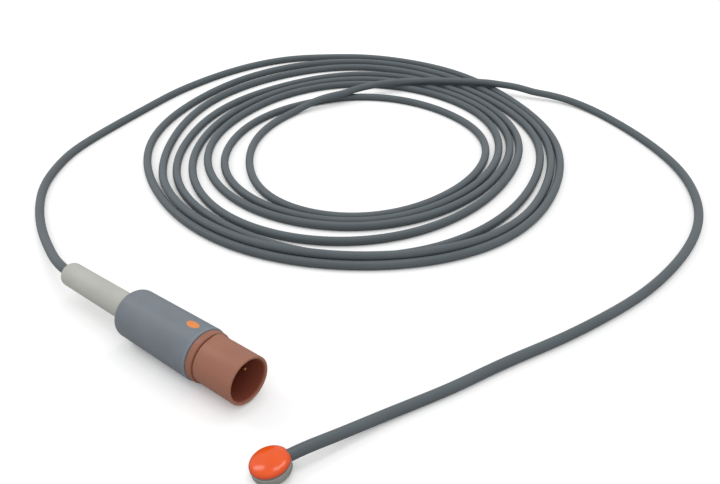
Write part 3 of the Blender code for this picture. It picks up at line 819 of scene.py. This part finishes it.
def build_contacts():
    """The insert with its counterbored face, and two gilt pins."""
    disc = BORE_RADIUS - 0.04
    boss = SEAT_RADIUS - 0.3
    face = -INSERT_DEPTH
    ring_floor = face - FACE_RING_DEPTH
    insert = turned_mesh("insert", rounded((
        (0, face, 0), (disc - 0.5, face, 0.06), (disc - 0.7, ring_floor, 0.06),
        (disc - 0.4, ring_floor, 0.06), (disc - 0.3, face, 0.06), (disc, face, 0.1),
        (disc, -INSERT_REAR, 0), (boss, -INSERT_REAR, 0), (boss, -BOSS_REAR, 0.1), (0, -BOSS_REAR, 0),
    ), closed=False), 128, closed=False)
    aside = PIN_SPACING / 2 * MM
    pin_places = {"a": Matrix.Translation((-aside, 0, 0)), "b": Matrix.Translation((aside, 0, 0))}
    holes = (
        (PIN_RADIUS + PIN_HOLE_ROOM, -BOSS_REAR - 1),
        (PIN_RADIUS + COUNTERBORE_ROOM, face - COUNTERBORE_DEPTH),
    )
    for place in pin_places.values():
        for radius, floor in holes:
            hole = rod_mesh("hole", radius, face + 1, floor, 48)
            hole.transform(place)
            insert = combined(insert, hole, "DIFFERENCE")
    finish = moulded("insert_brown", INSERT_BROWN, 0.5)
    add_piece("insert", shaded(insert), PLUG, finish, "insert_brown", "contact_insert")

    gilt = metal("gilt", PIN_GILT, 0.24, rings_along=2600)
    tip = -PIN_TIP_DEPTH
    cup_floor = -PIN_REAR + SOLDER_CUP_DEPTH
    for letter, place in pin_places.items():
        outline = rounded((
            (0, tip, 0), (PIN_RADIUS - 0.18, tip, 0.12), (PIN_RADIUS, tip - 0.45, 0.3),
            (PIN_RADIUS, -PIN_SHOULDER, 0), (SOLDER_CUP_RADIUS, -PIN_SHOULDER, 0.08),
            (SOLDER_CUP_RADIUS, -PIN_REAR, 0.06), (SOLDER_CUP_BORE, -PIN_REAR, 0.04),
            (SOLDER_CUP_BORE, cup_floor, 0), (0, cup_floor, 0),
        ), closed=False)
        pin = shaded(turned_mesh("pin_" + letter, outline, 48, closed=False))
        add_piece("pin_" + letter, pin, PLUG @ place, gilt, "pin_gold", "contact_pin_" + letter)


def build_grip():
    """The grey grip, its orange dot and the strain relief sleeve."""
    hole = SLEEVE_FRONT_RADIUS + 0.05
    grip = rounded((
        (GRIP_BORE_RADIUS, -GRIP_FRONT, 0.1), (GRIP_FRONT_RADIUS, -GRIP_FRONT, GRIP_FRONT_EDGE),
        (GRIP_REAR_RADIUS, -GRIP_REAR, GRIP_REAR_EDGE), (hole + 0.25, -GRIP_REAR, 0.1),
        (hole, -GRIP_REAR + 0.25, 0.1), (hole, -GRIP_BORE_END, 0), (GRIP_BORE_RADIUS, -GRIP_BORE_END, 0),
    ), steps=10)
    # Painted highlight: the grip's front edge turns lighter
    edge_highlights = ((-GRIP_FRONT - 0.75, -GRIP_FRONT - 0.3, 0.5),)
    finish = moulded("grip_grey", GRIP_GREY, 0.46, tone=0.05, edge_highlights=edge_highlights)
    add_piece("grip", shaded(turned_mesh("grip", grip, 192)), PLUG, finish, "body_grey", "plug_body")

    finish = moulded("dot_orange", DOT_ORANGE, 0.4)
    add_piece("grip_dot", dot_mesh("grip_dot"), PLUG, finish, "dot_orange", "alignment_dot")

    bore = CABLE_RADIUS + 0.04
    sleeve = rounded((
        (bore, -SLEEVE_FRONT, 0), (FLANGE_RADIUS, -SLEEVE_FRONT, 0.1), (FLANGE_RADIUS, -FLANGE_REAR, 0.1),
        (SLEEVE_FRONT_RADIUS, -FLANGE_REAR, 0), (SLEEVE_FRONT_RADIUS, -GRIP_REAR, 0),
        (SLEEVE_REAR_RADIUS, -SLEEVE_REAR, SLEEVE_END_EDGE), (bore, -SLEEVE_REAR, 0.15),
    ), steps=10)
    finish = moulded("sleeve_grey", SLEEVE_GREY, 0.55, tone=0.04, grain=3200)
    sleeve = shaded(turned_mesh("sleeve", sleeve, 128))
    add_piece("sleeve", sleeve, PLUG, finish, "relief_grey", "strain_relief")


def finish_inner_nodes():
    """Finishes for the pieces inside the sensor and the plug."""
    coating = moulded("bead_coating", BEAD_BROWN, 0.2, Coat_Weight=0.4)
    tinned = metal("tinned_wire", WIRE_TIN, 0.3, rings_along=3000)
    core = moulded("core_white", CORE_WHITE, 0.45)
    steel = metal("clamp_steel", CLAMP_STEEL, 0.34, rings_along=1800)
    finishes = {
        "thermistor_bead": coating, "thermistor_lead_a": tinned, "thermistor_lead_b": tinned,
        "sensor_core_a": core, "sensor_core_b": core, "plug_core_a": core, "plug_core_b": core,
        "cable_clamp": steel,
    }
    for name, finish in finishes.items():
        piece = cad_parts[name]
        for place in piece.material_slots:
            place.material = finish


# Surroundings


def build_camera():
    lens = bpy.data.cameras.new("camera")
    lens.lens = CAMERA_LENS
    lens.sensor_width = CAMERA_SENSOR
    lens.clip_start = 0.005
    lens.clip_end = 50
    camera = new_object("camera", lens)
    camera.location = CAMERA_PLACE * MM
    camera.rotation_euler = (CAMERA_PITCH, 0, 0)
    bpy.context.scene.camera = camera


def seen_directly(tree):
    """One for a ray from the camera."""
    return node(tree, "LightPath", {}).outputs["Is Camera Ray"]


def build_floor():
    """A wide floor, white where it is seen, that keeps soft shadows and has painted shade in narrow gaps."""
    shape = bmesh.new()
    bmesh.ops.create_grid(shape, x_segments=8, y_segments=8, size=4.0)
    floor = new_object("floor", mesh_from(shape, "floor"))
    paint = bpy.data.materials.new("floor_white")
    paint.use_nodes = True
    tree = paint.node_tree
    tree.nodes.clear()
    seen = seen_directly(tree)
    chalk = node(tree, "BsdfDiffuse", {"Color": ranged(tree, seen, 0, 1, FLOOR_BOUNCE, FLOOR_SHADE)})
    open_sky = node(tree, "AmbientOcclusion", {"Distance": FLOOR_GAP_SHADE_REACH * MM}).outputs["AO"]
    # Painted shade: the lift to white fades where little open sky is near
    gaps = ranged(tree, open_sky, *FLOOR_GAP_SHADE_RANGE, 0, 1)
    lift = node(tree, "Math", {0: seen, 1: FLOOR_LIFT}, operation="MULTIPLY").outputs[0]
    lift = node(tree, "Math", {0: lift, 1: gaps}, operation="MULTIPLY").outputs[0]
    glow = node(tree, "Emission", {"Color": (1, 1, 1, 1), "Strength": lift})
    both = node(tree, "AddShader", {0: chalk.outputs[0], 1: glow.outputs[0]})
    node(tree, "OutputMaterial", {"Surface": both.outputs[0]})
    floor.data.materials.append(paint)


def build_sky():
    """An even white sky."""
    bpy.context.scene.view_settings.view_transform = "Standard"
    world = bpy.data.worlds.new("studio")
    bpy.context.scene.world = world
    world.use_nodes = True
    tree = world.node_tree
    tree.nodes.clear()
    level = ranged(tree, seen_directly(tree), 0, 1, SKY_LIGHT, SKY_SEEN)
    glow = node(tree, "Background", {"Color": (1, 1, 1, 1), "Strength": level})
    node(tree, "OutputWorld", {"Surface": glow.outputs[0]})


def build_lights():
    for name, azimuth, elevation, roll, width, height, power in SOFT_BOXES:
        light = bpy.data.lights.new(name, "AREA")
        light.shape = "RECTANGLE"
        light.size = width
        light.size_y = height
        light.energy = power
        azimuth = math.radians(azimuth)
        elevation = math.radians(elevation)
        level = math.cos(elevation)
        away = Vector((level * math.sin(azimuth), level * math.cos(azimuth), math.sin(elevation)))
        aim = away.to_track_quat("Z", "Y").to_matrix().to_4x4() @ turn_about("Z", math.radians(roll))
        new_object(name, light).matrix_world = Matrix.Translation(away * SOFT_BOX_DISTANCE) @ aim


build_camera()
cable, cable_path = build_cable()
build_head()
build_barrel()
build_contacts()
build_grip()
finish_inner_nodes()
build_floor()
build_sky()
build_lights()
